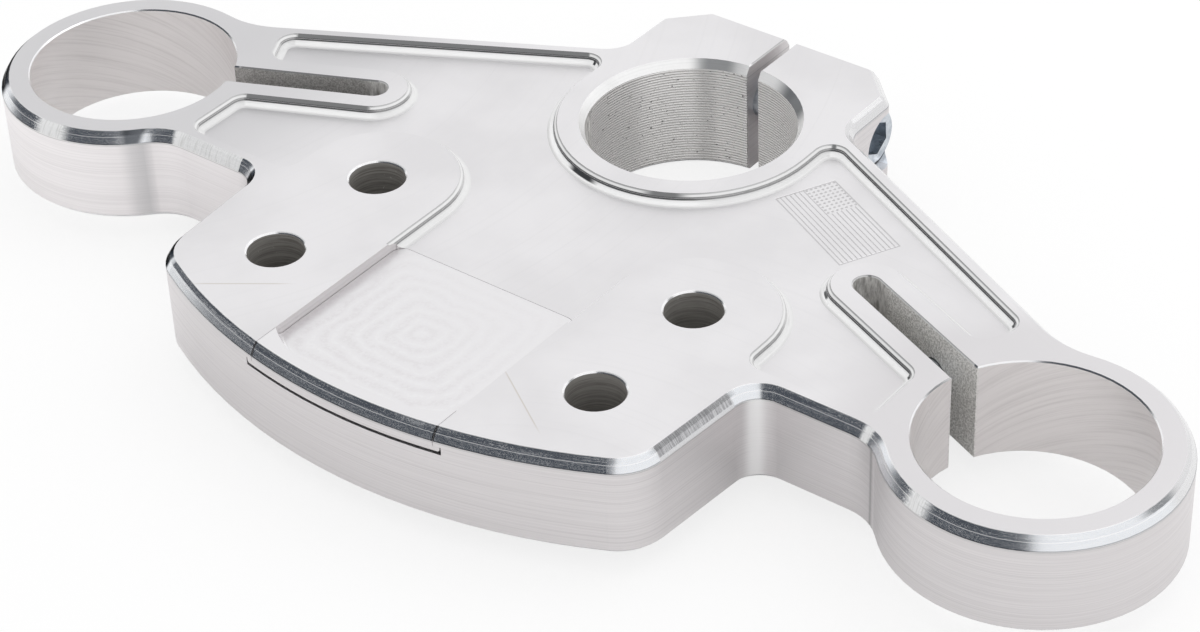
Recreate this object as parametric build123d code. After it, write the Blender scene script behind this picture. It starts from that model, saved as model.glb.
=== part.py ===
"""Upper triple clamp of a motorcycle fork: a machined plate, its slide-in cover and its pinch bolts.

Millimetres, +Z up. The origin is on the steering stem's axis, level with the plate's underside.
+Y points to the rider and +X to the fork on the right of the photograph.
"""
import os
from math import atan2, cos, degrees, radians, sin, sqrt, tan

from build123d import *

# Plate
THICKNESS = 23.8
FORK_SPACING = 251.8      # between the two fork axes
STEM_OFFSET = 56.4        # from the line of the forks back to the stem
FRONT_REACH = 70.4        # front face ahead of the line of the forks, at the middle
FRONT_RADIUS = 136.6
SIDE_HALF_WIDTH = 69.5    # half the plate's width where its sides meet the necks
SIDE_TAPER = 4.8          # degrees, narrower to the front
FRONT_CORNER = 12.0
NECK_REACH = 17.6         # front wall of each neck ahead of the line of the forks
NECK_CORNER = 6.35
NECK_BLEND = 12.0
ARM_ANGLE = 27.0          # degrees, sweep of the rear edges
ARM_APEX = 33.1           # behind the stem's axis, where the rear edges would meet
ARM_BLEND = 21.0
BOTTOM_BREAK = 1.2

# Bevel of the top edge, in two facets
BEVEL_UPPER_IN = 0.95
BEVEL_UPPER_DOWN = 0.8
BEVEL_LOWER_IN = 1.15
BEVEL_LOWER_DOWN = 1.9

# Clamp eyes and the slots that let them close
FORK_BORE = 50.0
FORK_WALL = 7.05
SLOT_WIDTH = 6.4
SLOT_REACH = 64.35        # tip of the slot from the fork's axis
SLOT_ANGLE = 23.6         # degrees behind the line of the forks
EDGE_BREAK = 0.3

# Stem collar, its ears and slit
STEM_BORE = 49.8
COLLAR_WALL = 7.2
BOSS_DROP = 5.4
BOSS_BREAK = 1.0
STEM_CHAMFER_IN = 1.35
STEM_CHAMFER_DOWN = 2.2
EAR_WIDTH = 66.5          # across both ears
EAR_REACH = 42.85         # rear wall behind the stem's axis
EAR_BEVEL = 9.4
EAR_BLEND = 6.35
EAR_CORNER = 3.0
SLIT_WIDTH = 3.35

# Pocket in the top face
POCKET_DEPTH = 2.5
POCKET_COVE = 1.55
COVE_STEPS = 3            # facets of the pocket's cove
POCKET_BREAK = 0.85
POCKET_CORNER = 3.5
POCKET_CORNER_SHARE = 0.45  # most of the channel's short end that one corner may take
RIB_WIDTH = 5.0           # wall left along the rear edges
RIM_WIDTH = 5.0           # wall left along the necks' front edges
ISLAND_WALL = 5.6         # wall left round each slot
CLAMP_LAND = 31.2         # pocket wall from the fork's axis, across the plate
CHANNEL_LAND = 33.1       # end of the rear channel from the fork's axis, along the rear edge

# Handlebar riser holes and their pads
RISER_SPACING = 88.9
RISER_PITCH = 34.5        # front hole to rear hole
RISER_SETBACK = 4.0       # rear holes ahead of the line of the forks
RISER_HOLE = 13.0
RISER_BREAK = 0.4
PAD_RADIUS = 19.7

# Cover that slides into a T-slot between the pads, from the front
COVER_WIDTH = 49.9
COVER_BACK = 19.15        # its back edge ahead of the line of the forks
COVER_CORNER = 3.0
COVER_THICKNESS = 5.0
COVER_LIP = 3.85          # depth of the slot's lips, which the flange bears on
COVER_FLANGE = 1.6
COVER_FLANGE_BREAK = 0.4
COVER_STRIP = 4.4         # front strip that stays level with the plate's top
COVER_STRIP_CORNER = 24.0
COVER_STRIP_SPREAD = 8.6  # the recess's cutter path past the cover's sides
COVER_GAP = 0.1
FLANGE_GAP = 0.3
UNDER_GAP = 0.8

# Socket-head cap screws: 3/8 in through the ears, 5/16 in across the slots
STEM_BOLT = {"shank": 9.53, "head": 14.29, "hex": 7.94, "length": 44.45}
STEM_BOLT_INSET = 10.75   # its axis ahead of the ears' rear wall
STEM_BOLT_SINK = 2.55     # head's face inside the ear's side wall
STEM_BOLT_TURN = 4.0      # degrees, of the hexagon
FORK_BOLT = {"shank": 7.94, "head": 11.91, "hex": 6.35, "length": 31.75}
FORK_BOLT_REACH = 39.6    # where it crosses the slot, from the fork's axis
FORK_BOLT_SINK = 2.0
HEAD_BREAK = 0.6
HEAD_CLEARANCE = 0.4      # radial, in the counterbore
SHANK_CLEARANCE = 0.25    # radial, in the plain hole
SOCKET_SHARE = 0.5        # hexagon's depth as a share of the head's height
THREAD_RUNOUT = 3.0       # hole drilled past the screw's tip

# Set screws from below, which hold the cover up against the lips
SET_SCREW = {"shank": 4.83, "hex": 2.38, "length": 12.7}
SET_SCREW_SOCKET = 2.6
SET_SCREW_SPACING = 30.0

SIDES = {"right": 1, "left": -1}

fork_x = FORK_SPACING / 2
fork_y = -STEM_OFFSET
front_y = fork_y - FRONT_REACH
neck_y = fork_y - NECK_REACH
fork_radius = FORK_BORE / 2
eye_radius = fork_radius + FORK_WALL
stem_radius = STEM_BORE / 2
collar_radius = stem_radius + COLLAR_WALL
ear_x = EAR_WIDTH / 2
mid_height = THICKNESS / 2
bevel_down = BEVEL_UPPER_DOWN + BEVEL_LOWER_DOWN
cover_half = COVER_WIDTH / 2
cover_back_y = fork_y - COVER_BACK
stem_bolt_y = EAR_REACH - STEM_BOLT_INSET

eye = Vector(fork_x, fork_y)
along_arm = Vector(cos(radians(ARM_ANGLE)), -sin(radians(ARM_ANGLE)))
off_arm = Vector(sin(radians(ARM_ANGLE)), cos(radians(ARM_ANGLE)))
along_slot = Vector(-cos(radians(SLOT_ANGLE)), sin(radians(SLOT_ANGLE)))
off_slot = Vector(sin(radians(SLOT_ANGLE)), cos(radians(SLOT_ANGLE)))


def mirrored(half):
    """The right half of a sketch with its mirror image."""
    return half + mirror(half, Plane.YZ)


def rounded(sketch, corners):
    """The sketch with the vertex nearest each point rounded by the radius given with it."""
    for point, radius in corners:
        vertex = sketch.vertices().sort_by_distance(Vector(*point))[0]
        sketch = fillet(vertex, radius)
    return sketch


def taper_for(run, height):
    """The taper in degrees of a facet that goes in by run over its height."""
    return degrees(atan2(run, height))


def arm_edge(x, inset=0.0):
    """Y of the rear edge's wall at x, or of a line inside it."""
    return ARM_APEX - inset / cos(radians(ARM_ANGLE)) - x * tan(radians(ARM_ANGLE))


def side_edge(y):
    """X of the plate's side wall at y."""
    return SIDE_HALF_WIDTH + (y - neck_y) * tan(radians(SIDE_TAPER))


def front_edge(x, inset=0.0):
    """Y of the front wall's arc at x, or of an arc inside it."""
    return front_y + FRONT_RADIUS - sqrt((FRONT_RADIUS - inset) ** 2 - x**2)


def front_disc(inset=0.0):
    """Everything behind the front wall's arc, or behind an arc inside it."""
    return Pos(0, front_y + FRONT_RADIUS) * Circle(FRONT_RADIUS - inset)


def outline():
    """The plate's outer wall, seen from above."""
    rear_gap = (arm_edge(eye.X) - eye.Y) * off_arm.Y
    arm_end = eye + off_arm * rear_gap - along_arm * sqrt(eye_radius**2 - rear_gap**2)
    neck_end = eye.X - sqrt(eye_radius**2 - NECK_REACH**2)
    corner_y = front_edge(side_edge(front_edge(SIDE_HALF_WIDTH)))
    ahead_y = front_y - 1
    front = Polygon(
        (0, ahead_y),
        (side_edge(ahead_y), ahead_y),
        (SIDE_HALF_WIDTH, neck_y),
        (0, neck_y),
        align=None,
    )
    rear = Polygon(
        (0, neck_y),
        (eye.X, neck_y),
        (eye.X, eye.Y),
        (arm_end.X, arm_end.Y),
        (ear_x, arm_edge(ear_x)),
        (ear_x, EAR_REACH - EAR_BEVEL),
        (ear_x - EAR_BEVEL, EAR_REACH),
        (0, EAR_REACH),
        align=None,
    )
    half = (front & front_disc()) + rear + Pos(eye) * Circle(eye_radius)
    half = rounded(
        half,
        [
            ((side_edge(corner_y), corner_y), FRONT_CORNER),
            ((SIDE_HALF_WIDTH, neck_y), NECK_CORNER),
            ((neck_end, neck_y), NECK_BLEND),
            (arm_end, ARM_BLEND),
            ((ear_x, arm_edge(ear_x)), EAR_BLEND),
            ((ear_x, EAR_REACH - EAR_BEVEL), EAR_CORNER),
            ((ear_x - EAR_BEVEL, EAR_REACH), EAR_CORNER),
        ],
    )
    return mirrored(half)


def bevelled_blank():
    """The whole plate as a solid, with its top bevel in two facets and a broken bottom edge."""
    edge = outline()
    ridge = offset(edge, -BEVEL_LOWER_IN)
    wall = extrude(edge, THICKNESS - bevel_down)
    wall = chamfer(wall.edges().group_by(Axis.Z)[0], BOTTOM_BREAK)
    lower = extrude(edge, BEVEL_LOWER_DOWN, taper=taper_for(BEVEL_LOWER_IN, BEVEL_LOWER_DOWN))
    upper = extrude(ridge, BEVEL_UPPER_DOWN, taper=taper_for(BEVEL_UPPER_IN, BEVEL_UPPER_DOWN))
    lower = Pos(0, 0, THICKNESS - bevel_down) * lower
    upper = Pos(0, 0, THICKNESS - BEVEL_UPPER_DOWN) * upper
    return wall + lower + upper


def slot_shape(half_width, reach):
    """The right slot, or the land round it, from the fork's axis to its round tip."""
    length = reach - half_width
    strip = Rectangle(length, 2 * half_width, align=(Align.MIN, Align.CENTER))
    strip = strip + Pos(length, 0) * Circle(half_width)
    return Pos(eye) * Rot(0, 0, 180 - SLOT_ANGLE) * strip


def pocket_outline():
    """The pocket between the pads, the stem collar, the slots and the rear ribs."""
    start_y = cover_back_y - COVER_CORNER
    pad_in = RISER_SPACING / 2 - PAD_RADIUS
    rim_y = neck_y + RIM_WIDTH
    land_x = eye.X - CLAMP_LAND
    pad_x = RISER_SPACING / 2
    pad_y = fork_y - RISER_SETBACK
    island = SLOT_WIDTH / 2 + ISLAND_WALL
    slot_at_land = eye + along_slot * (CLAMP_LAND / -along_slot.X)
    island_at_land = slot_at_land + Vector(0, island / along_slot.X)
    channel_foot = eye - along_arm * CHANNEL_LAND
    rib_gap = (arm_edge(channel_foot.X, RIB_WIDTH) - channel_foot.Y) * off_arm.Y
    channel_corner = channel_foot + off_arm * rib_gap
    island_rise = (eye - channel_foot).dot(off_slot)
    island_at_foot = channel_foot + off_arm * ((island + island_rise) / off_arm.dot(off_slot))
    channel_end = (channel_corner - island_at_foot).length
    end_corner = min(POCKET_CORNER, POCKET_CORNER_SHARE * channel_end)
    half = Polygon(
        (0, start_y),
        (pad_in, start_y),
        (pad_in, rim_y),
        (land_x, rim_y),
        (land_x, slot_at_land.Y),
        (channel_foot.X, channel_foot.Y),
        (channel_corner.X, channel_corner.Y),
        (0, arm_edge(0, RIB_WIDTH)),
        align=None,
    )
    collar = Circle(collar_radius)
    collar = collar + Rectangle(2 * collar_radius, 2 * EAR_REACH, align=(Align.CENTER, Align.MIN))
    pad = Pos(pad_x, pad_y) * Circle(PAD_RADIUS)
    pad = pad + Pos(pad_x, pad_y) * Rectangle(
        2 * PAD_RADIUS, FRONT_REACH, align=(Align.CENTER, Align.MAX)
    )
    half = half - slot_shape(island, SLOT_REACH + ISLAND_WALL) - collar - pad
    half = rounded(
        half,
        [
            ((pad_x + PAD_RADIUS, rim_y), POCKET_CORNER),
            ((land_x, rim_y), POCKET_CORNER),
            (island_at_land, POCKET_CORNER),
            (island_at_foot, end_corner),
            (channel_corner, end_corner),
            ((collar_radius, arm_edge(collar_radius, RIB_WIDTH)), POCKET_CORNER),
        ],
    )
    return mirrored(half)


def coved_floor(shape, radius, steps):
    """A cutter from its upper level down by radius, whose walls sweep into its floor in steps."""
    cutter = None
    for step in range(steps):
        start = radians(90 * step / steps)
        end = radians(90 * (step + 1) / steps)
        run = radius * (cos(start) - cos(end))
        drop = radius * (sin(end) - sin(start))
        level = offset(shape, -radius * (1 - cos(start)), kind=Kind.INTERSECTION) if step else shape
        ring = mirror(extrude(level, drop, taper=taper_for(run, drop)), Plane.XY)
        ring = Pos(0, 0, -radius * sin(start)) * ring
        cutter = cutter + ring if cutter else ring
    return cutter


def cut_pocket(body):
    """Sink the pocket, cove its floor and break its upper edge, up to where the cover adjoins it."""
    plan = pocket_outline()
    start_y = cover_back_y - COVER_CORNER
    pad_in = RISER_SPACING / 2 - PAD_RADIUS
    wall_foot = POCKET_DEPTH - POCKET_COVE
    ahead = Pos(0, start_y) * Rectangle(2 * pad_in, POCKET_COVE, align=(Align.CENTER, Align.MIN))
    body = body - Pos(0, 0, THICKNESS - wall_foot) * extrude(plan, wall_foot)
    body = body - Pos(0, 0, THICKNESS - POCKET_BREAK) * extrude(plan, POCKET_BREAK + 1, taper=-45)
    body = body - Pos(0, 0, THICKNESS - wall_foot) * coved_floor(plan, POCKET_COVE, COVE_STEPS)
    return body - Pos(0, 0, THICKNESS - POCKET_DEPTH) * extrude(ahead, POCKET_DEPTH)


def broken_hole(shape, broken):
    """A cutter through the plate with its upper end opened out at 45 degrees."""
    core = Pos(0, 0, -1) * extrude(shape, THICKNESS + 2)
    return core + Pos(0, 0, THICKNESS - broken) * extrude(shape, broken + 1, taper=-45)


def stem_cutters():
    """The stem's chamfered bore and the slit through the ears."""
    bore = Pos(0, 0, -BOSS_DROP) * Cylinder(
        stem_radius, THICKNESS + 2 * BOSS_DROP, align=(Align.CENTER, Align.CENTER, Align.MIN)
    )
    mouth = Pos(0, 0, THICKNESS - STEM_CHAMFER_DOWN) * Cone(
        stem_radius,
        stem_radius + 2 * STEM_CHAMFER_IN,
        2 * STEM_CHAMFER_DOWN,
        align=(Align.CENTER, Align.CENTER, Align.MIN),
    )
    foot = Pos(0, 0, -BOSS_DROP) * Cone(
        stem_radius + BOSS_BREAK,
        stem_radius,
        BOSS_BREAK,
        align=(Align.CENTER, Align.CENTER, Align.MIN),
    )
    slit = Rectangle(SLIT_WIDTH, 2 * EAR_REACH, align=(Align.CENTER, Align.MIN))
    slit = broken_hole(slit, EDGE_BREAK)
    boss_slit = Pos(0, 0, -2 * BOSS_DROP) * Box(
        SLIT_WIDTH, 2 * EAR_REACH, 3 * BOSS_DROP, align=(Align.CENTER, Align.MIN, Align.MIN)
    )
    return bore + mouth + foot, slit + boss_slit


def t_slot():
    """The cover's slot: its mouth between the pads and the wider groove under the lips."""
    length = 2 * FRONT_REACH
    mouth = cover_plan(COVER_GAP, COVER_GAP, length)
    groove = cover_plan(COVER_FLANGE + FLANGE_GAP, COVER_FLANGE + FLANGE_GAP, length)
    groove_height = COVER_THICKNESS + UNDER_GAP - COVER_LIP
    groove_z = THICKNESS - COVER_LIP - groove_height
    return (
        Pos(0, 0, groove_z) * extrude(mouth, THICKNESS)
        + Pos(0, 0, groove_z) * extrude(groove, groove_height)
    )


def cover_plan(side_gap, back_gap, length):
    """The cover's shape from above, grown at its sides and back, and open to the front."""
    width = 2 * (cover_half + side_gap)
    back = cover_back_y + back_gap
    shape = Pos(0, back) * Rectangle(width, length, align=(Align.CENTER, Align.MAX))
    corners = shape.vertices().group_by(Axis.Y)[-1]
    return fillet(corners, COVER_CORNER + side_gap)


def cap_screw(size):
    """A socket-head cap screw along Z, with its seat at zero and its tip below."""
    radius = size["shank"] / 2
    head = size["head"] / 2
    height = size["shank"]
    profile = Polyline(
        (0, -size["length"]),
        (radius, -size["length"]),
        (radius, 0),
        (head, 0),
        (head, height - HEAD_BREAK),
        (head - HEAD_BREAK, height),
        (0, height),
        close=True,
    )
    screw = revolve(Plane.XZ * make_face(profile), Axis.Z)
    depth = height * SOCKET_SHARE
    socket = RegularPolygon(size["hex"] / 2, 6, major_radius=False)
    return screw - Pos(0, 0, height - depth) * extrude(socket, depth + 1)


def cap_screw_hole(size, thread_from, sink):
    """The cutter for a cap screw: counterbore, plain hole down to thread_from, then its thread."""
    radius = size["shank"] / 2
    head = size["head"]
    low = (Align.CENTER, Align.CENTER, Align.MIN)
    high = (Align.CENTER, Align.CENTER, Align.MAX)
    recess = Cylinder(size["head"] / 2 + HEAD_CLEARANCE, size["shank"] + sink + head, align=low)
    plain = Cylinder(radius + SHANK_CLEARANCE, thread_from, align=high)
    thread = Cylinder(radius, size["length"] + THREAD_RUNOUT, align=high)
    return recess + plain + thread


def stem_bolt_place():
    """Where the ears' screw sits, seat first: its head is in the right ear."""
    seat_x = ear_x - STEM_BOLT_SINK - STEM_BOLT["shank"]
    frame = Plane(origin=(seat_x, stem_bolt_y, mid_height), x_dir=(0, 0, 1), z_dir=(1, 0, 0))
    return frame


def fork_bolt_place(side):
    """Where a clamp eye's screw sits: it crosses the slot squarely from the rear edge."""
    cross = eye + along_slot * FORK_BOLT_REACH
    rear = (arm_edge(cross.X) - cross.Y) / (off_slot.Y + off_slot.X * tan(radians(ARM_ANGLE)))
    seat = cross + off_slot * (rear - FORK_BOLT_SINK - FORK_BOLT["shank"])
    return Plane(
        origin=(side * seat.X, seat.Y, mid_height),
        x_dir=(0, 0, 1),
        z_dir=(side * off_slot.X, off_slot.Y, 0),
    )


def fork_bolt_plain():
    """How far a clamp eye's screw runs free, from its seat to the far wall of the slot."""
    seat = fork_bolt_place(1).origin
    cross = eye + along_slot * FORK_BOLT_REACH
    return (Vector(seat.X, seat.Y) - cross).length + SLOT_WIDTH / 2


def set_screw_place(side):
    """Where a set screw's tip meets the underside of the cover."""
    middle_y = (front_y + cover_back_y) / 2
    return Pos(side * SET_SCREW_SPACING / 2, middle_y, THICKNESS - COVER_THICKNESS)


def top_clamp():
    """The machined plate with its collar, pockets, slots, bores and bolt holes."""
    high = (Align.CENTER, Align.CENTER, Align.MAX)
    body = cut_pocket(bevelled_blank())
    boss = Pos(0, 0, mid_height) * Cylinder(collar_radius, mid_height + BOSS_DROP, align=high)
    boss = chamfer(boss.edges().group_by(Axis.Z)[0], BOSS_BREAK)
    body = body + boss
    bore, slit = stem_cutters()
    body = body - bore - slit - t_slot()
    for side in SIDES.values():
        keyhole = Pos(eye) * Circle(fork_radius) + slot_shape(SLOT_WIDTH / 2, SLOT_REACH)
        if side < 0:
            keyhole = mirror(keyhole, Plane.YZ)
        body = body - broken_hole(keyhole, EDGE_BREAK)
        for row in (0, RISER_PITCH):
            riser = Pos(side * RISER_SPACING / 2, fork_y - RISER_SETBACK - row)
            riser = riser * Circle(RISER_HOLE / 2)
            body = body - broken_hole(riser, RISER_BREAK)
        body = body - fork_bolt_place(side) * cap_screw_hole(
            FORK_BOLT, fork_bolt_plain(), FORK_BOLT_SINK
        )
        set_hole = Cylinder(SET_SCREW["shank"] / 2, THICKNESS, align=high)
        body = body - set_screw_place(side) * set_hole
    thread_from = stem_bolt_place().origin.X + SLIT_WIDTH / 2
    body = body - stem_bolt_place() * cap_screw_hole(STEM_BOLT, thread_from, STEM_BOLT_SINK)
    return body


def cover_insert():
    """The cover: a T-section plate whose front carries on the plate's arc and bevel."""
    length = 2 * FRONT_REACH
    base = THICKNESS - COVER_THICKNESS
    web = Pos(0, 0, base) * extrude(cover_plan(0, 0, length), THICKNESS)
    flange = Pos(0, 0, base) * extrude(
        cover_plan(COVER_FLANGE, COVER_FLANGE, length), COVER_THICKNESS - COVER_LIP
    )
    flange = chamfer(flange.edges().group_by(Axis.Z)[0], COVER_FLANGE_BREAK)
    cover = (web + flange) & bevelled_blank()
    recess = Rectangle(2 * (cover_half + COVER_STRIP_SPREAD), length, align=(Align.CENTER, Align.MIN))
    recess = Pos(0, front_y) * recess & front_disc(COVER_STRIP)
    recess = fillet(recess.vertices().group_by(Axis.Y)[0], COVER_STRIP_CORNER)
    recess = Pos(0, 0, THICKNESS - POCKET_DEPTH) * extrude(recess, THICKNESS)
    recess = fillet(recess.edges().group_by(Axis.Z)[0], POCKET_COVE)
    return cover - recess


def stem_pinch_bolt():
    return stem_bolt_place() * Rot(0, 0, STEM_BOLT_TURN) * cap_screw(STEM_BOLT)


def fork_pinch_bolt(side):
    return fork_bolt_place(side) * cap_screw(FORK_BOLT)


def set_screw():
    """A headless socket screw with its tip at zero and its hexagon below."""
    radius = SET_SCREW["shank"] / 2
    length = SET_SCREW["length"]
    screw = Cylinder(radius, length, align=(Align.CENTER, Align.CENTER, Align.MAX))
    socket = RegularPolygon(SET_SCREW["hex"] / 2, 6, major_radius=False)
    return screw - Pos(0, 0, -length - 1) * extrude(socket, SET_SCREW_SOCKET + 1)


os.makedirs("parts", exist_ok=True)
export_step(top_clamp(), "parts/top_clamp.step")
export_step(cover_insert(), "parts/cover_insert.step")
export_step(stem_pinch_bolt(), "parts/stem_pinch_bolt.step")
for name, side in SIDES.items():
    export_step(fork_pinch_bolt(side), f"parts/fork_pinch_bolt_{name}.step")
    export_step(set_screw_place(side) * set_screw(), f"parts/cover_set_screw_{name}.step")
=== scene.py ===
"""Looks of the triple clamp: bare machined aluminium in a plain white studio."""
import math
from types import SimpleNamespace

import bpy
from mathutils import Matrix, Vector


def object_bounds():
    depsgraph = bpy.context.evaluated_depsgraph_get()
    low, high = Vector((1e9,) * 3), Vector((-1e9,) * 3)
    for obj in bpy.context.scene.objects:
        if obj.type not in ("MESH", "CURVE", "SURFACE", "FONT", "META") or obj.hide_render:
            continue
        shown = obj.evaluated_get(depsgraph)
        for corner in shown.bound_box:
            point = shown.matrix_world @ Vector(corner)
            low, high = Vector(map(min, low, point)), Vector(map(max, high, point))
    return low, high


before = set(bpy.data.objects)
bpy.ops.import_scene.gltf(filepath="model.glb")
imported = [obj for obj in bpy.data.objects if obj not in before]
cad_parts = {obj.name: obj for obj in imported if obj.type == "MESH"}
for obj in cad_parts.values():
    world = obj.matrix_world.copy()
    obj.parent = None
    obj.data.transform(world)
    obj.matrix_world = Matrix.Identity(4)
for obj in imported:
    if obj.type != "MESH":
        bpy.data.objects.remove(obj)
cad_box = [list(corner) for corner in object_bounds()]

MM = 0.001

# The part's own sizes, in millimetres
TOP_Z = 23.8
POCKET_Z = 21.3
FORK_X = 125.9
FORK_Y = -56.4
FORK_R = 25.0
RING_R = 32.05
STEM_R = 24.9
SLOT_ANGLE = 23.6
SLOT_HALF = 3.2
SLOT_END_REACH = 58.5     # from the fork's axis, where the slot's round end begins
ARM_ANGLE = 27.0
RISER_X = 44.45
RISER_MID_Y = -77.65
RISER_HALF_PITCH = 17.25
RISER_R = 6.5
NECK_X = 67.0
NECK_CORNER = (69.5, -74.0)
BEVEL_BREAK_Z = 23.0      # where the bevel's two facets meet
BEVEL_FOOT_Z = 21.1
PAINTED_LINE_Z = 22.65           # painted highlight line along the bevel
UPPER_SLOPE = (0.74, 0.79)     # upward part of each facet's normal
LOWER_SLOPE = (0.48, 0.555)
FRONT_BEVEL_Y = -111.0    # the front arc lies ahead of this
NECKS_Y = -91.0           # the necks and rings lie behind this
# Stretch of the plate's right bevel that gets a painted hatched reflection
PAINTED_HATCH_Y = (-114.0, -80.0)
COVER_HALF = 24.95
COVER_MID_Y = -98.0
COVER_FLOOR_HALF = (24.0, 22.5)
COVER_PATHS = 6.5         # rounds of the cutter from the floor's middle to its edge
GROOVE_PITCH = 0.72       # ridges in the stem's bore

# Engraved panel by the right rib
PANEL_CORNER = (33.0, -13.4)
PANEL_LENGTH = 29.3
PANEL_WIDTH = 15.4
PANEL_STRIPES = 13
PANEL_FIELD = (11.2, 8.3)
DOT_PITCH = (1.24, 1.18)

# Colours that several faces share
WHITE = (1.0, 1.0, 1.0, 1)
BLACK = (0.0, 0.0, 0.0, 1)
EDGES = (0.93, 0.93, 0.94, 1)

# Surroundings: headings of the dark screen and of the small grey patch; lamp and floor in metres
SCREEN_HEADING = (-0.477, -0.879, 0.0)
PATCH_HEADING = (0.755, 0.656, 0.0)
LAMP_AT = (0.30, 0.55, 0.90)
LAMP_SIZE = 0.9
LAMP_POWER = 1.5
FLOOR_HALF = 6.0

# Camera, fitted to the photograph: pixels, then metres and degrees
IMAGE_WIDTH = 1200
IMAGE_HEIGHT = 632
FOCAL_PX = 3116.7
CENTRE_PX = (566.4, 217.3)
SENSOR = 36.0             # millimetres
CAMERA_AT = Vector((0.3628, -0.4899, 0.4186))
AZIMUTH, ELEVATION, ROLL = 39.35, 34.68, -2.77


class Graph:
    """A material's or the world's node tree, with short calls for what it is built from."""

    def __init__(self, tree):
        self.tree = tree
        tree.nodes.clear()

    def node(self, kind, inputs=None, **settings):
        made = self.tree.nodes.new(kind)
        for key, value in settings.items():
            setattr(made, key, value)
        for key, value in (inputs or {}).items():
            self.feed(made.inputs[key], value)
        return made

    def feed(self, socket, value):
        if isinstance(value, bpy.types.NodeSocket):
            self.tree.links.new(value, socket)
        else:
            socket.default_value = value

    def math(self, operation, *values):
        inputs = dict(enumerate(values))
        return self.node("ShaderNodeMath", inputs, operation=operation).outputs[0]

    def vector(self, operation, *values, output=0):
        inputs = dict(enumerate(values))
        return self.node("ShaderNodeVectorMath", inputs, operation=operation).outputs[output]

    def add(self, a, b):
        return self.math("ADD", a, b)

    def sub(self, a, b):
        return self.math("SUBTRACT", a, b)

    def mul(self, a, b):
        return self.math("MULTIPLY", a, b)

    def size(self, value):
        return self.math("ABSOLUTE", value)

    def both(self, *masks):
        """Where every mask is 1."""
        result = masks[0]
        for mask in masks[1:]:
            result = self.mul(result, mask)
        return result

    def most(self, *masks):
        """Where any mask is 1."""
        result = masks[0]
        for mask in masks[1:]:
            result = self.math("MAXIMUM", result, mask)
        return result

    def all_but(self, mask):
        return self.sub(1.0, mask)

    def step(self, value, low, high):
        """0 below low and 1 above high, or the other way round where low is the larger."""
        rising = low < high
        inputs = {"Value": value, "From Min": min(low, high), "From Max": max(low, high)}
        inputs.update({"To Min": 0.0 if rising else 1.0, "To Max": 1.0 if rising else 0.0})
        made = self.node("ShaderNodeMapRange", inputs, interpolation_type="SMOOTHSTEP", clamp=True)
        return made.outputs[0]

    def band(self, value, low, high, soft):
        """1 between low and high, with edges as soft as given."""
        return self.both(
            self.step(value, low - soft, low + soft), self.step(value, high + soft, high - soft)
        )

    def combine(self, x, y, z=0.0):
        return self.node("ShaderNodeCombineXYZ", {0: x, 1: y, 2: z}).outputs[0]

    def noise(self, at, scale, detail=2.0, rough=0.5, turn=0.0):
        inputs = {"Vector": at, "Scale": scale, "Detail": detail, "Roughness": rough}
        inputs["Distortion"] = turn
        return self.node("ShaderNodeTexNoise", inputs).outputs[0]

    def mix(self, a, b, share):
        """A number between a and b."""
        return self.add(self.mul(a, self.all_but(share)), self.mul(b, share))

    def blend(self, a, b, share):
        """A colour between a and b."""
        made = self.node("ShaderNodeMix", data_type="RGBA")
        self.feed(made.inputs[0], share)
        self.feed(made.inputs[6], a)
        self.feed(made.inputs[7], b)
        return made.outputs[2]


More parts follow.
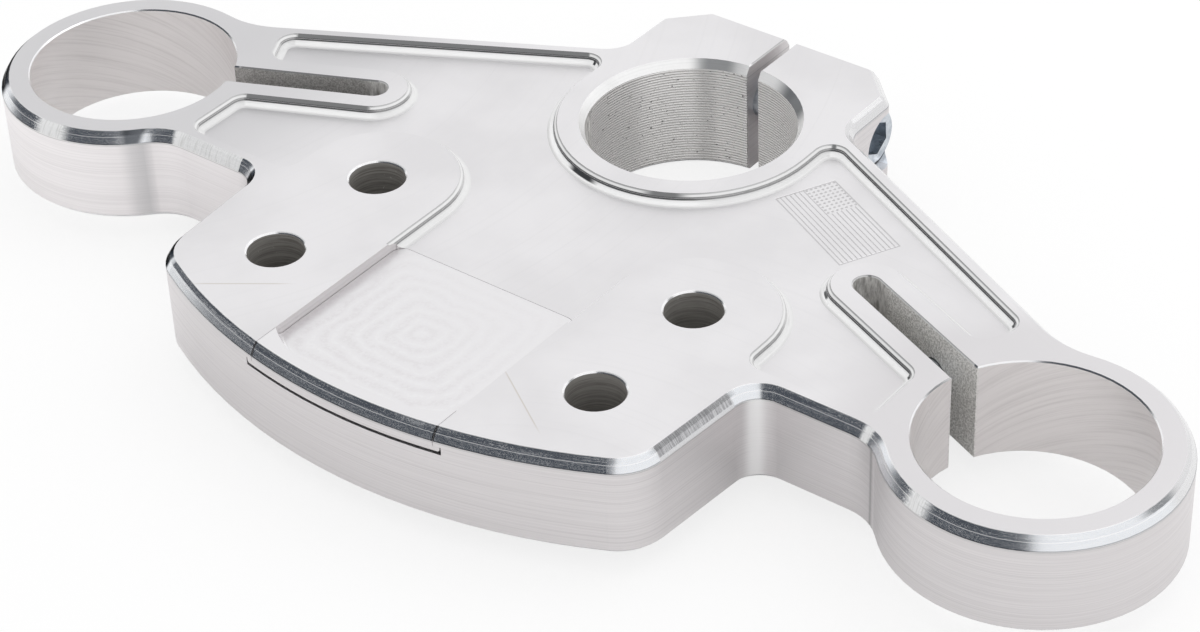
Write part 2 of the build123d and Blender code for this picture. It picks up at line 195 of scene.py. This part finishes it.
class Surface(Graph):
    """A part's material, with its place in millimetres and masks for its kinds of face."""

    def __init__(self, name):
        self.material = bpy.data.materials.new(name)
        self.material.use_nodes = True
        super().__init__(self.material.node_tree)
        coords = self.node("ShaderNodeTexCoord")
        self.at = self.vector("SCALE", coords.outputs["Object"])
        self.at.node.inputs["Scale"].default_value = 1 / MM
        place = self.node("ShaderNodeSeparateXYZ", {0: self.at})
        self.x, self.y, self.z = place.outputs
        self.side_x = self.size(self.x)
        normal = self.node("ShaderNodeSeparateXYZ", {0: coords.outputs["Normal"]})
        self.nz = normal.outputs[2]
        turned = self.math("ARCTAN2", normal.outputs[1], normal.outputs[0])
        self.facing = self.mul(turned, 180 / math.pi)
        self.right = self.step(self.x, -0.1, 0.1)
        self.left = self.all_but(self.right)
        self.flat = self.step(self.nz, 0.985, 0.998)
        self.wall = self.step(self.size(self.nz), 0.2, 0.08)
        self.slope = self.both(self.all_but(self.wall), self.step(self.nz, 0.985, 0.97))
        self.low = self.both(self.flat, self.step(self.z, POCKET_Z + 0.4, POCKET_Z + 0.1))

    def distance(self, x, y, mirrored=True):
        """From an upright axis at x and y, and from its mirror image."""
        across = self.sub(self.side_x if mirrored else self.x, x)
        return self.vector("LENGTH", self.combine(across, self.sub(self.y, y)), output=1)

    def rings(self, x, y, pitch):
        """Fine uneven circles about an axis, as a cutter's path leaves them."""
        reach = self.distance(x, y, mirrored=False)
        return self.noise(self.combine(reach, 0.0), 1 / pitch, detail=3.0, rough=0.7)

    def lines(self, rate, drift, detail, rough):
        """Fine lines round the part, each at its own height but for a little drift."""
        at = self.combine(self.z, self.mul(self.x, drift), self.mul(self.y, drift))
        return self.noise(at, rate, detail=detail, rough=rough)

    def scratch(self, start, end, half_width):
        """1 along a thin straight mark from start to end on the top."""
        run = Vector(end) - Vector(start)
        length = run.length
        run = run / length
        dx = self.sub(self.x, start[0])
        dy = self.sub(self.y, start[1])
        along = self.add(self.mul(dx, run.x), self.mul(dy, run.y))
        across = self.size(self.sub(self.mul(dx, -run.y), self.mul(dy, -run.x)))
        ends = self.band(along, 0.0, length, 0.15 * length)
        return self.both(ends, self.step(across, 2 * half_width, 0.3 * half_width))

    def finish(self, colour, rough, height=None, depth=0.01, metallic=1.0, edge=WHITE):
        inputs = {"Base Color": colour, "Metallic": metallic, "Roughness": rough}
        inputs["Specular Tint"] = edge
        shader = self.node("ShaderNodeBsdfPrincipled", inputs)
        if height is not None:
            bump = self.node(
                "ShaderNodeBump", {"Height": height, "Distance": depth * MM, "Strength": 1.0}
            )
            self.feed(shader.inputs["Normal"], bump.outputs[0])
        output = self.node("ShaderNodeOutputMaterial")
        self.tree.links.new(shader.outputs[0], output.inputs[0])
        return self.material


def dress(node, material):
    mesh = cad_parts[node].data
    mesh.materials.clear()
    mesh.materials.append(material)


def facets(s):
    """Masks of the outer bevel: all of it, its tool-line streaks with painted highlights (a line
    along it, its top rim and a lighter lower part) and its painted dark foot line.
    """
    upper = s.both(
        s.band(s.nz, *UPPER_SLOPE, 0.008), s.step(s.z, BEVEL_BREAK_Z - 0.2, BEVEL_BREAK_Z - 0.05)
    )
    lower = s.both(
        s.band(s.nz, *LOWER_SLOPE, 0.012),
        s.band(s.z, BEVEL_FOOT_Z - 0.2, BEVEL_BREAK_Z + 0.1, 0.1),
    )
    bevel = s.most(upper, lower)
    below = s.mul(bevel, s.step(s.z, PAINTED_LINE_Z + 0.03, PAINTED_LINE_Z - 0.03))
    lines = s.lines(3.6, 0.02, detail=3.0, rough=0.6)
    speckle = s.noise(s.at, 3.0, detail=2.0, rough=0.7)
    # Sparse tool-line streaks above the painted line; a denser, lighter speckle below it as a
    # painted lighter reflection
    fine = s.mul(s.step(s.add(lines, speckle), 0.92, 1.30), 0.55)
    coarse = s.mul(s.step(s.add(s.mul(lines, 0.5), speckle), 0.62, 1.05), 0.5)
    # A painted highlight line along the bevel and a painted highlight on its top rim
    painted_line = s.mul(s.band(s.z, PAINTED_LINE_Z - 0.07, PAINTED_LINE_Z + 0.05, 0.05), 0.9)
    rim = s.step(s.z, TOP_Z - 0.12, TOP_Z - 0.04)
    streak = s.mul(s.most(s.mix(fine, coarse, below), painted_line, rim), bevel)
    # A painted dark line at the bevel's foot
    foot = s.mul(lower, s.step(s.z, BEVEL_FOOT_Z + 0.25, BEVEL_FOOT_Z + 0.1))
    return bevel, streak, foot


def shaded(s):
    """Where the bevel gets a painted dark reflection: at its left ends and where the left ring
    turns in.
    """
    west = s.both(s.step(s.facing, -124.0, -131.0), s.step(s.facing, -176.0, -168.0))
    left_end = s.both(s.step(s.x, 0.0, -1.0), west)
    on_ring = s.both(s.step(s.x, -102.0, -103.4), s.step(s.y, -60.0, -64.0))
    turn_in = s.both(s.band(s.facing, -51.0, -38.0, 2.5), on_ring)
    return s.most(left_end, turn_in)


def bevel_colour(s, streak, foot):
    """Bright metal with painted reflections: light streaks and painted highlights, painted dark
    reflections, the cover's dark seams with a painted highlight beside them, plain grey on the
    sides facing the rear and a painted dark foot line.
    """
    # Streaks and painted highlights whiten the metal
    colour = s.blend((0.80, 0.82, 0.85, 1), WHITE, streak)
    # Painted dark reflection at the left ends and where the left ring turns in
    colour = s.blend(colour, (0.12, 0.13, 0.145, 1), s.mul(shaded(s), 0.95))
    front = s.step(s.y, FRONT_BEVEL_Y + 1.0, FRONT_BEVEL_Y - 1.0)
    seam = s.band(s.side_x, COVER_HALF - 0.25, COVER_HALF + 0.3, 0.06)
    # A painted highlight beside the cover's seam on the front
    painted_seam_highlight = s.band(s.side_x, COVER_HALF + 0.4, COVER_HALF + 0.75, 0.06)
    colour = s.blend(colour, WHITE, s.both(painted_seam_highlight, front, 0.8))
    colour = s.blend(colour, (0.02, 0.02, 0.02, 1), s.both(seam, front, 0.85))
    # Plain grey in place of the painted streaks on the sides facing the rear
    muted = s.most(s.step(s.facing, -6.0, 4.0), s.step(s.y, 0.0, 6.0))
    colour = s.blend(colour, (0.74, 0.735, 0.74, 1), s.mul(muted, 0.9))
    # Painted dark line at the foot
    return s.blend(colour, (0.35, 0.36, 0.37, 1), s.mul(foot, 0.8))


def bevel_edge(s, bevel):
    """Takes the bright grazing reflection from the bevel where it stays dark."""
    return s.blend(WHITE, BLACK, s.mul(bevel, shaded(s)))


def slot_walls(s, from_fork, fork_dx, fork_dy):
    """Mask of the two slots' walls, from the place beside the nearer fork's axis."""
    turn = math.radians(SLOT_ANGLE)
    off_slot = s.add(s.mul(fork_dx, math.sin(turn)), s.mul(fork_dy, math.cos(turn)))
    along_slot = s.sub(s.mul(fork_dy, math.sin(turn)), s.mul(fork_dx, math.cos(turn)))
    return s.both(
        s.wall,
        s.step(s.size(off_slot), SLOT_HALF + 0.5, SLOT_HALF + 0.2),
        s.step(from_fork, FORK_R - 0.1, FORK_R + 0.1),
        s.step(along_slot, 0.0, 1.0),
    )


def clamp_faces(s):
    """Masks for the clamp's kinds of face, and the place round and from the nearer fork's axis."""
    from_stem = s.distance(0.0, 0.0)
    from_fork = s.distance(FORK_X, FORK_Y)
    riser_dy = s.sub(s.size(s.sub(s.y, RISER_MID_Y)), RISER_HALF_PITCH)
    from_riser = s.vector("LENGTH", s.combine(s.sub(s.side_x, RISER_X), riser_dy), output=1)
    fork_dx = s.sub(s.side_x, FORK_X)
    fork_dy = s.sub(s.y, FORK_Y)
    f = SimpleNamespace(from_fork=from_fork)
    f.round_fork = s.mul(s.math("ARCTAN2", fork_dy, fork_dx), FORK_R)
    f.stem = s.both(s.wall, s.step(from_stem, STEM_R + 0.6, STEM_R + 0.2))
    f.fork = s.both(s.wall, s.step(from_fork, FORK_R + 0.6, FORK_R + 0.2))
    f.riser = s.both(s.wall, s.step(from_riser, RISER_R + 0.6, RISER_R + 0.2))
    f.slot = slot_walls(s, from_fork, fork_dx, fork_dy)
    f.outer = s.both(s.wall, s.all_but(s.most(f.stem, f.fork, f.riser, f.slot)))
    f.high = s.step(s.z, TOP_Z - 0.3, TOP_Z - 0.1)
    off_stem = s.step(from_stem, STEM_R + 2.0, STEM_R + 3.0)
    off_forks = s.step(from_fork, FORK_R + 1.0, FORK_R + 2.0)
    off_risers = s.step(from_riser, RISER_R + 0.7, RISER_R + 1.1)
    bevel, streak, f.foot = facets(s)
    f.bevel = s.mul(bevel, off_stem)
    f.streak = s.mul(streak, off_stem)
    f.chamfer = s.both(s.slope, s.all_but(off_stem), s.step(s.z, TOP_Z - 3.0, TOP_Z - 2.8))
    f.riser_rim = s.both(s.slope, s.all_but(off_risers), f.high)
    not_outside = s.both(s.all_but(f.bevel), off_stem, off_forks, off_risers)
    f.pocket = s.both(s.slope, not_outside, s.step(s.z, POCKET_Z - 0.3, POCKET_Z - 0.1))
    return f


def neck_flash(s, f):
    """Where a painted highlight whitens the bevel along the necks."""
    behind = s.step(s.y, NECKS_Y - 1.0, NECKS_Y + 1.0)
    necks = s.both(f.bevel, behind, s.step(s.side_x, NECK_X - 1.0, NECK_X + 1.0))
    ragged = s.add(s.facing, s.mul(s.sub(f.streak, 0.5), 4.0))
    at_left = s.band(ragged, -94.0, -78.0, 3.0)
    at_right = s.band(ragged, -114.0, -103.0, 3.0)
    return s.both(necks, s.mix(at_left, at_right, s.right))


def top_colour(s, f, swirl, cloud, marks):
    """Pale milled metal with painted shade round the clamps, two scuffs and the engraved panel."""
    scuffs = s.most(
        s.scratch((-50.0, -114.4), (-34.0, -103.4), 0.14),
        s.scratch((25.0, -100.4), (42.0, -111.4), 0.12),
    )
    # Painted shade on the top round the right fork and over the left clamp
    shade_near_right = s.both(s.right, s.step(f.from_fork, 48.0, 34.0), 0.8)
    near_left = s.both(s.left, s.step(s.side_x, 56.0, 92.0), 0.8)
    grey = s.blend((0.83, 0.82, 0.83, 1), (0.77, 0.76, 0.77, 1), s.step(cloud, 0.35, 0.7))
    grey = s.blend(grey, (0.71, 0.705, 0.71, 1), s.mul(s.step(swirl, 0.50, 0.72), 0.25))
    grey = s.blend(grey, (0.70, 0.685, 0.695, 1), shade_near_right)
    grey = s.blend(grey, (0.63, 0.625, 0.635, 1), near_left)
    grey = s.blend(grey, (0.52, 0.46, 0.38, 1), s.mul(s.both(scuffs, f.high), 0.5))
    return s.blend(grey, (0.52, 0.51, 0.515, 1), s.mul(marks, 0.75))


def clamp_bevel_colour(s, f, flash):
    """The bevel's painted reflections: its painted colour, painted white highlights with cross
    lines and a painted hatched grey band at the plate's right.
    """
    colour = bevel_colour(s, f.streak, f.foot)
    # Cross lines in the painted highlight
    cross = s.noise(s.combine(s.x, s.mul(s.y, 0.1)), 2.8, detail=4.0, rough=0.8)
    crossed = s.blend(WHITE, (0.80, 0.80, 0.79, 1), s.step(cross, 0.46, 0.64))
    colour = s.blend(colour, crossed, flash)
    # A painted hatched reflection on the plate's right bevel, plain grey nearer its foot
    along = s.band(s.y, *PAINTED_HATCH_Y, 0.5)
    across = s.both(f.bevel, s.right, s.band(s.facing, -9.0, 0.0, 2.0), along)
    hatch = s.noise(s.combine(s.mul(s.x, 0.1), s.y), 2.0, detail=4.0, rough=0.8)
    painted_hatch = s.blend((0.62, 0.62, 0.63, 1), (0.34, 0.34, 0.35, 1), s.step(hatch, 0.36, 0.62))
    above_foot = s.both(across, s.step(s.z, BEVEL_FOOT_Z + 0.6, BEVEL_FOOT_Z + 0.8))
    return s.blend(colour, s.blend((0.70, 0.70, 0.71, 1), painted_hatch, above_foot), across)


def chamfer_colour(s, lines):
    """The stem bore's chamfer, painted bright, with painted dark reflections where it faces the
    screen.
    """
    # Painted bright ring with fine lines
    light = s.blend((0.98, 0.98, 0.98, 1), (0.80, 0.80, 0.80, 1), s.step(lines, 0.5, 0.8))
    # Painted dark reflections on two stretches of the ring
    back = s.mul(s.band(s.facing, -79.0, -58.0, 6.0), 0.7)
    side = s.mul(s.band(s.facing, -142.0, -111.0, 8.0), 0.9)
    return s.blend(light, (0.12, 0.13, 0.14, 1), s.most(back, side))


def pocket_colour(s):
    """Painted light and dark bands along the pocket's edge and cove, painted reflections and shade
    that are clearest on their front sides.
    """
    # Tones of the painted bands
    light = (0.82, 0.82, 0.82, 1)
    dark = (0.05, 0.053, 0.056, 1)
    front = s.band(s.facing, -150.0, -50.0, 8.0)
    aside = s.mul(s.band(s.facing, -50.0, 20.0, 8.0), 0.35)
    rim = s.step(s.z, TOP_Z - 0.35, TOP_Z - 0.15)
    middle = s.band(s.z, POCKET_Z + 1.15, POCKET_Z + 1.85, 0.1)
    foot = s.step(s.z, POCKET_Z + 0.2, POCKET_Z + 0.05)
    cove = s.band(s.z, POCKET_Z + 0.2, POCKET_Z + 1.15, 0.1)
    left_turn = s.band(s.facing, -112.0, -97.0, 3.0)
    right_turn = s.band(s.facing, -146.0, -128.0, 3.0)
    turns = s.mix(left_turn, right_turn, s.right)
    corner = s.both(turns, s.band(s.z, POCKET_Z + 0.4, POCKET_Z + 1.6, 0.1))
    shoulder = s.both(
        s.band(s.facing, -73.0, -57.0, 4.0), s.step(s.z, POCKET_Z + 1.2, POCKET_Z + 1.4)
    )
    # Painted shade: dark bands at the middle, the rim, the foot, the corners and the shoulder
    shade = s.most(
        s.mul(middle, 0.95), s.mul(rim, 0.6), s.mul(foot, 0.25), corner, s.mul(shoulder, 0.8)
    )
    # A painted white highlight on the cove's front
    painted_bright = s.blend(light, WHITE, s.mul(cove, front))
    return s.blend(painted_bright, dark, s.mul(shade, s.add(s.mix(0.35, 1.0, front), aside)))


def wall_colour(s, lines):
    """Fine cutter lines round the outside, with painted light and shade: paler walls on the left,
    a painted shade line under the bevel and painted highlights and shade where the walls turn.
    """
    cut = s.step(lines, 0.35, 0.75)
    colour = s.blend((0.72, 0.695, 0.70, 1), (0.61, 0.585, 0.59, 1), cut)
    # The walls on the left painted paler, as lit walls
    painted_paler = s.blend((0.92, 0.89, 0.895, 1), (0.80, 0.77, 0.775, 1), cut)
    colour = s.blend(colour, painted_paler, s.step(s.x, -45.0, -82.0))
    # Painted shade just under the bevel's foot
    painted_shade_under = s.band(s.z, BEVEL_FOOT_Z - 0.4, BEVEL_FOOT_Z - 0.1, 0.05)
    colour = s.blend(colour, (0.45, 0.45, 0.45, 1), s.mul(painted_shade_under, 0.6))
    # A painted highlight where the wall turns near the neck corner
    near_corner = s.step(s.distance(*NECK_CORNER), 12.0, 9.0)
    corner = s.both(s.right, near_corner, s.band(s.facing, -62.0, -30.0, 12.0))
    colour = s.blend(colour, (0.98, 0.98, 0.98, 1), s.mul(corner, 0.65))
    off_ring = s.step(s.distance(FORK_X, FORK_Y), RING_R + 0.1, RING_R + 0.35)
    # Painted dark and bright reflection bands where the right wall turns off the ring
    turn = s.both(s.right, s.step(s.side_x, 80.0, 84.0), off_ring)
    painted_dark_band = s.mul(s.both(turn, s.band(s.facing, -123.0, -119.0, 2.0)), 0.55)
    painted_bright = s.both(turn, s.band(s.facing, -134.0, -128.0, 2.0))
    colour = s.blend(colour, (0.22, 0.22, 0.225, 1), painted_dark_band)
    colour = s.blend(colour, (0.92, 0.91, 0.915, 1), painted_bright)
    # Painted shade on the left wall where it turns
    soft = s.both(s.left, s.step(s.side_x, 90.0, 94.0), s.band(s.facing, -49.0, -40.0, 5.0))
    return s.blend(colour, (0.50, 0.50, 0.51, 1), s.mul(soft, 0.6))


def stem_colour(s, grooves):
    """Fine ridges round the stem's bore, with dark pits to the left and broad bands of painted
    shade.
    """
    pits = s.step(s.noise(s.combine(s.x, s.y, s.mul(s.z, 2.0)), 0.9, detail=2.0), 0.68, 0.71)
    ridged = s.blend((1.0, 0.99, 0.98, 1), (0.55, 0.54, 0.53, 1), s.step(grooves, -0.2, 0.9))
    ridged = s.blend(ridged, (0.12, 0.12, 0.12, 1), s.both(pits, s.step(s.x, 5.0, 0.0)))
    # Broad bands of painted shade by the way the wall faces
    shades = s.most(s.band(s.facing, -67.0, -57.0, 4.0), s.band(s.facing, -24.0, 30.0, 8.0))
    return s.blend(ridged, (0.42, 0.41, 0.405, 1), s.mul(shades, 0.35))


def slot_colour(s, f, grit):
    """Gritty sawn walls, painted darker in the left slot as shade, and the cutter's marks at the
    round end.
    """
    share = s.step(grit, 0.42, 0.58)
    # The same gritty wall as a lit copy in the right slot and a painted shaded copy in the left
    lit_right_slot = s.blend((1.0, 0.99, 0.97, 1), (0.50, 0.49, 0.47, 1), share)
    shaded_left_slot = s.blend((0.56, 0.55, 0.54, 1), (0.29, 0.28, 0.27, 1), share)
    upright = s.noise(s.combine(s.x, s.y, s.mul(s.z, 0.25)), 1.0, detail=4.0, rough=0.7)
    tip = s.blend((0.85, 0.84, 0.82, 1), (0.36, 0.35, 0.34, 1), s.step(upright, 0.32, 0.68))
    at_end = s.step(f.from_fork, SLOT_END_REACH - 1.0, SLOT_END_REACH + 1.0)
    return s.blend(s.blend(shaded_left_slot, lit_right_slot, s.right), tip, at_end)


def riser_colour(s, turned):
    """Drilled walls painted dark as the shade inside the holes, with a few bright patches."""
    # Painted shade inside the drilled holes
    drilled_in_painted_shade = s.blend((0.40, 0.385, 0.365, 1), (0.21, 0.20, 0.185, 1), s.step(turned, 0.38, 0.66))
    patches = s.step(s.noise(s.at, 0.55, detail=3.0, turn=1.5), 0.70, 0.76)
    return s.blend(drilled_in_painted_shade, (0.95, 0.94, 0.92, 1), s.both(patches, s.step(turned, 0.7, 0.4)))


def panel(s):
    """A plain engraved panel of lines beside a field of dots, along the right rib."""
    turn = math.radians(ARM_ANGLE)
    dx = s.sub(s.x, PANEL_CORNER[0])
    dy = s.sub(s.y, PANEL_CORNER[1])
    along = s.sub(s.mul(dx, math.cos(turn)), s.mul(dy, math.sin(turn)))
    across = s.add(s.mul(dx, math.sin(turn)), s.mul(dy, math.cos(turn)))
    inside = s.both(
        s.band(along, 0.0, PANEL_LENGTH, 0.1), s.band(across, 0.0, PANEL_WIDTH, 0.1)
    )

    def in_cell(value, pitch):
        return s.sub(s.math("FRACT", s.math("DIVIDE", value, pitch)), 0.5)

    stripe = s.step(s.size(in_cell(across, PANEL_WIDTH / PANEL_STRIPES)), 0.38, 0.47)
    cell = s.combine(in_cell(along, DOT_PITCH[0]), in_cell(across, DOT_PITCH[1]))
    dot = s.step(s.vector("LENGTH", cell, output=1), 0.34, 0.2)
    far = PANEL_WIDTH - PANEL_FIELD[1]
    field = s.both(s.band(along, 0.0, PANEL_FIELD[0], 0.05), s.step(across, far, far + 0.1))

    def border(value, length):
        off_middle = s.size(s.sub(value, length / 2))
        return s.step(off_middle, length / 2 - 0.4, length / 2 - 0.2)

    frame_lines = s.most(border(along, PANEL_LENGTH), border(across, PANEL_WIDTH))
    return s.mul(s.most(s.mix(stripe, dot, field), frame_lines), inside)


def clamp_material():
    s = Surface("machined_aluminium")
    f = clamp_faces(s)
    flash = neck_flash(s, f)
    marks = s.both(panel(s), s.low)

    swirl = s.mix(s.rings(-160.0, -40.0, 1.6), s.rings(60.0, -150.0, 1.9), s.step(s.x, 20.0, 40.0))
    cloud = s.noise(s.at, 0.035, detail=4.0)
    lines = s.lines(3.2, 0.004, detail=4.0, rough=0.75)
    grooves = s.math("SINE", s.mul(s.z, 2 * math.pi / GROOVE_PITCH))
    climbing = s.add(s.mul(s.z, 0.9), s.mul(f.round_fork, 0.45))
    diagonal = s.noise(
        s.combine(climbing, s.mul(f.round_fork, 0.02)), 1.2, detail=5.0, rough=0.7
    )
    grit = s.noise(s.at, 2.4, detail=5.0, rough=0.8)
    turned = s.lines(2.5, 0.02, detail=4.0, rough=0.8)

    colour = s.blend(top_colour(s, f, swirl, cloud, marks), EDGES, s.slope)
    # Over the top's colour go the faces' own colours, most of them with painted light and shade
    colour = s.blend(colour, clamp_bevel_colour(s, f, flash), f.bevel)
    colour = s.blend(colour, chamfer_colour(s, lines), f.chamfer)
    colour = s.blend(colour, pocket_colour(s), f.pocket)
    colour = s.blend(colour, wall_colour(s, lines), f.outer)
    bore = s.blend((0.86, 0.83, 0.825, 1), (0.74, 0.71, 0.705, 1), s.step(diagonal, 0.42, 0.72))
    colour = s.blend(colour, bore, f.fork)
    colour = s.blend(colour, stem_colour(s, grooves), f.stem)
    colour = s.blend(colour, slot_colour(s, f, grit), f.slot)
    colour = s.blend(colour, riser_colour(s, turned), f.riser)
    # The risers' rim chamfers painted white as a highlight
    colour = s.blend(colour, WHITE, f.riser_rim)

    # Streaks and painted highlights, the painted flashes and the pocket's and chamfer's painted
    # bands turn less metallic, so their painted colour shows
    metallic = s.all_but(s.mul(f.streak, 0.45))
    metallic = s.mix(metallic, 0.25, s.most(flash, f.pocket, f.chamfer))
    metallic = s.mul(metallic, s.all_but(s.mul(f.pocket, 0.95)))
    metallic = s.mix(metallic, 0.55, s.most(f.outer, f.fork, f.stem))
    metallic = s.mix(metallic, 0.30, s.most(f.slot, f.riser, f.riser_rim))

    rough = s.mix(0.33, 0.40, cloud)
    rough = s.mix(rough, 0.20, s.slope)
    rough = s.mix(rough, 0.36, f.outer)
    rough = s.mix(rough, 0.34, s.most(f.fork, f.stem))
    rough = s.mix(rough, 0.42, s.most(f.slot, f.riser))

    height = s.mul(marks, -5.0)
    textures = (
        (swirl, s.flat, 0.6),
        (lines, f.outer, 0.8),
        (grooves, f.stem, 6.0),
        (diagonal, f.fork, 2.0),
        (grit, f.slot, 8.0),
        (turned, f.riser, 2.5),
    )
    for texture, face, strength in textures:
        height = s.add(height, s.mul(texture, s.mul(face, strength)))
    return s.finish(colour, rough, height, metallic=metallic, edge=bevel_edge(s, f.bevel))


def cover_material():
    """The cover: squared cutter paths on its sunk floor, and the clamp's own bevel and wall."""
    s = Surface("cover_aluminium")
    u = s.math("DIVIDE", s.x, COVER_FLOOR_HALF[0])
    v = s.math("DIVIDE", s.sub(s.y, COVER_MID_Y), COVER_FLOOR_HALF[1])
    squareness = 7.0
    squared = s.add(s.math("POWER", s.size(u), squareness), s.math("POWER", s.size(v), squareness))
    reach = s.math("POWER", squared, 1 / squareness)
    grain = s.noise(s.at, 0.16, detail=4.0)
    rounds = s.mul(reach, COVER_PATHS * 2 * math.pi)
    paths = s.math("SINE", s.add(rounds, s.mul(grain, 9.0)))
    chatter = s.noise(s.at, 1.1, detail=3.0, rough=0.7)
    lines = s.noise(s.combine(s.z, s.mul(s.x, 0.01)), 3.2, detail=4.0, rough=0.75)
    bevel, streak, foot = facets(s)

    near_left = s.mix(0.3, 1.0, s.step(s.add(v, s.mul(u, 0.5)), 0.9, -0.5))
    worn = s.both(s.low, s.step(paths, -0.6, 1.0), s.step(chatter, 0.36, 0.60), near_left)
    clean = s.both(s.low, s.step(paths, -0.70, -0.97), s.step(chatter, 0.62, 0.42), near_left)
    colour = s.blend((0.83, 0.82, 0.83, 1), (0.785, 0.77, 0.78, 1), worn)
    colour = s.blend(colour, (0.88, 0.88, 0.885, 1), s.mul(clean, 0.45))
    colour = s.blend(colour, EDGES, s.slope)
    # The bevel and walls take the clamp's painted reflections, highlights and shade
    colour = s.blend(colour, bevel_colour(s, streak, foot), bevel)
    colour = s.blend(colour, wall_colour(s, lines), s.wall)

    metallic = s.mix(s.all_but(s.mul(streak, 0.45)), 0.55, s.wall)
    rough = s.mix(0.34, s.mix(0.24, 0.42, chatter), s.low)
    rough = s.mix(rough, 0.20, s.slope)
    height = s.mul(s.add(s.mul(paths, 0.2), s.mul(chatter, 1.2)), s.low)
    height = s.add(height, s.mul(lines, s.mul(s.wall, 0.8)))
    return s.finish(colour, rough, height, metallic=metallic, edge=bevel_edge(s, bevel))


def zinc_material():
    s = Surface("zinc_steel")
    stain = s.noise(s.at, 0.5, detail=4.0, rough=0.65)
    fine = s.noise(s.at, 4.0, detail=3.0)
    colour = s.blend((0.60, 0.64, 0.68, 1), (0.44, 0.48, 0.53, 1), s.step(stain, 0.4, 0.65))
    return s.finish(colour, s.mix(0.22, 0.36, stain), fine, depth=0.006)


def black_material():
    s = Surface("black_steel")
    stain = s.noise(s.at, 1.0, detail=3.0)
    colour = s.blend((0.045, 0.045, 0.05, 1), (0.09, 0.09, 0.095, 1), stain)
    return s.finish(colour, 0.4, stain, depth=0.004, metallic=0.8)


def studio():
    """White surroundings with a dark screen left of the camera and a small one behind the part."""
    world = bpy.data.worlds.new("studio")
    world.use_nodes = True
    bpy.context.scene.world = world
    g = Graph(world.node_tree)
    coords = g.node("ShaderNodeTexCoord")
    ray = g.vector("NORMALIZE", coords.outputs["Generated"])
    heading = g.vector("NORMALIZE", g.vector("MULTIPLY", ray, (1.0, 1.0, 0.0)))
    height = g.node("ShaderNodeSeparateXYZ", {0: ray}).outputs[2]
    near = g.vector("DOT_PRODUCT", heading, SCREEN_HEADING, output=1)
    upright = g.both(g.step(height, -0.10, 0.0), g.step(height, 0.975, 0.93))
    dark = g.both(g.step(near, 0.46, 0.58), upright)
    seen = g.blend((0.97, 0.97, 0.975, 1), (0.060, 0.068, 0.082, 1), dark)
    behind = g.vector("DOT_PRODUCT", heading, PATCH_HEADING, output=1)
    patch = g.both(g.step(behind, 0.972, 0.994), g.band(height, 0.30, 0.68, 0.06))
    seen = g.blend(seen, (0.20, 0.205, 0.21, 1), patch)
    light = g.node("ShaderNodeLightPath")
    colour = g.blend(WHITE, seen, light.outputs["Is Glossy Ray"])
    background = g.node("ShaderNodeBackground", {"Color": colour, "Strength": 1.0})
    output = g.node("ShaderNodeOutputWorld")
    g.tree.links.new(background.outputs[0], output.inputs[0])


def floor():
    """A pale floor that keeps the part's shadow, whiter to the camera than it is."""
    level = cad_box[0][2]
    signs = ((-1, -1), (1, -1), (1, 1), (-1, 1))
    corners = [(x * FLOOR_HALF, y * FLOOR_HALF, level) for x, y in signs]
    mesh = bpy.data.meshes.new("floor")
    mesh.from_pydata(corners, [], [(0, 1, 2, 3)])
    made = bpy.data.objects.new("floor", mesh)
    bpy.context.scene.collection.objects.link(made)
    material = bpy.data.materials.new("floor")
    material.use_nodes = True
    g = Graph(material.node_tree)
    light = g.node("ShaderNodeLightPath")
    diffuse = g.node("ShaderNodeBsdfDiffuse", {"Color": (0.93, 0.93, 0.93, 1)})
    white = g.node("ShaderNodeEmission", {"Color": WHITE, "Strength": 1.0})
    shader = g.node("ShaderNodeMixShader", {0: g.mul(light.outputs["Is Camera Ray"], 0.78)})
    g.tree.links.new(diffuse.outputs[0], shader.inputs[1])
    g.tree.links.new(white.outputs[0], shader.inputs[2])
    output = g.node("ShaderNodeOutputMaterial")
    g.tree.links.new(shader.outputs[0], output.inputs[0])
    mesh.materials.append(material)


def lamp(name, at, size, power):
    light = bpy.data.lights.new(name, "AREA")
    light.shape = "DISK"
    light.size = size
    light.energy = power
    made = bpy.data.objects.new(name, light)
    made.location = at
    made.rotation_mode = "QUATERNION"
    made.rotation_quaternion = (-Vector(at)).to_track_quat("-Z", "Y")
    bpy.context.scene.collection.objects.link(made)


def camera():
    az, el, roll = (math.radians(value) for value in (AZIMUTH, ELEVATION, ROLL))
    back = Vector((math.sin(az) * math.cos(el), -math.cos(az) * math.cos(el), math.sin(el)))
    right = Vector((0, 0, 1)).cross(back).normalized()
    up = back.cross(right)
    rolled_right = math.cos(roll) * right + math.sin(roll) * up
    rolled_up = -math.sin(roll) * right + math.cos(roll) * up
    data = bpy.data.cameras.new("camera")
    data.sensor_width = SENSOR
    data.lens = FOCAL_PX / IMAGE_WIDTH * SENSOR
    data.shift_x = (IMAGE_WIDTH / 2 - CENTRE_PX[0]) / IMAGE_WIDTH
    data.shift_y = (CENTRE_PX[1] - IMAGE_HEIGHT / 2) / IMAGE_WIDTH
    data.clip_start = 0.01
    made = bpy.data.objects.new("camera", data)
    bpy.context.scene.collection.objects.link(made)
    turn = Matrix((rolled_right, rolled_up, back)).transposed().to_4x4()
    made.matrix_world = Matrix.Translation(CAMERA_AT) @ turn
    bpy.context.scene.camera = made


dress("top_clamp", clamp_material())
dress("cover_insert", cover_material())
zinc = zinc_material()
for bolt in ("stem_pinch_bolt", "fork_pinch_bolt_right", "fork_pinch_bolt_left"):
    dress(bolt, zinc)
black = black_material()
for screw in ("cover_set_screw_right", "cover_set_screw_left"):
    dress(screw, black)

studio()
floor()
lamp("key", LAMP_AT, LAMP_SIZE, LAMP_POWER)
camera()
bpy.context.scene.view_settings.view_transform = "Standard"
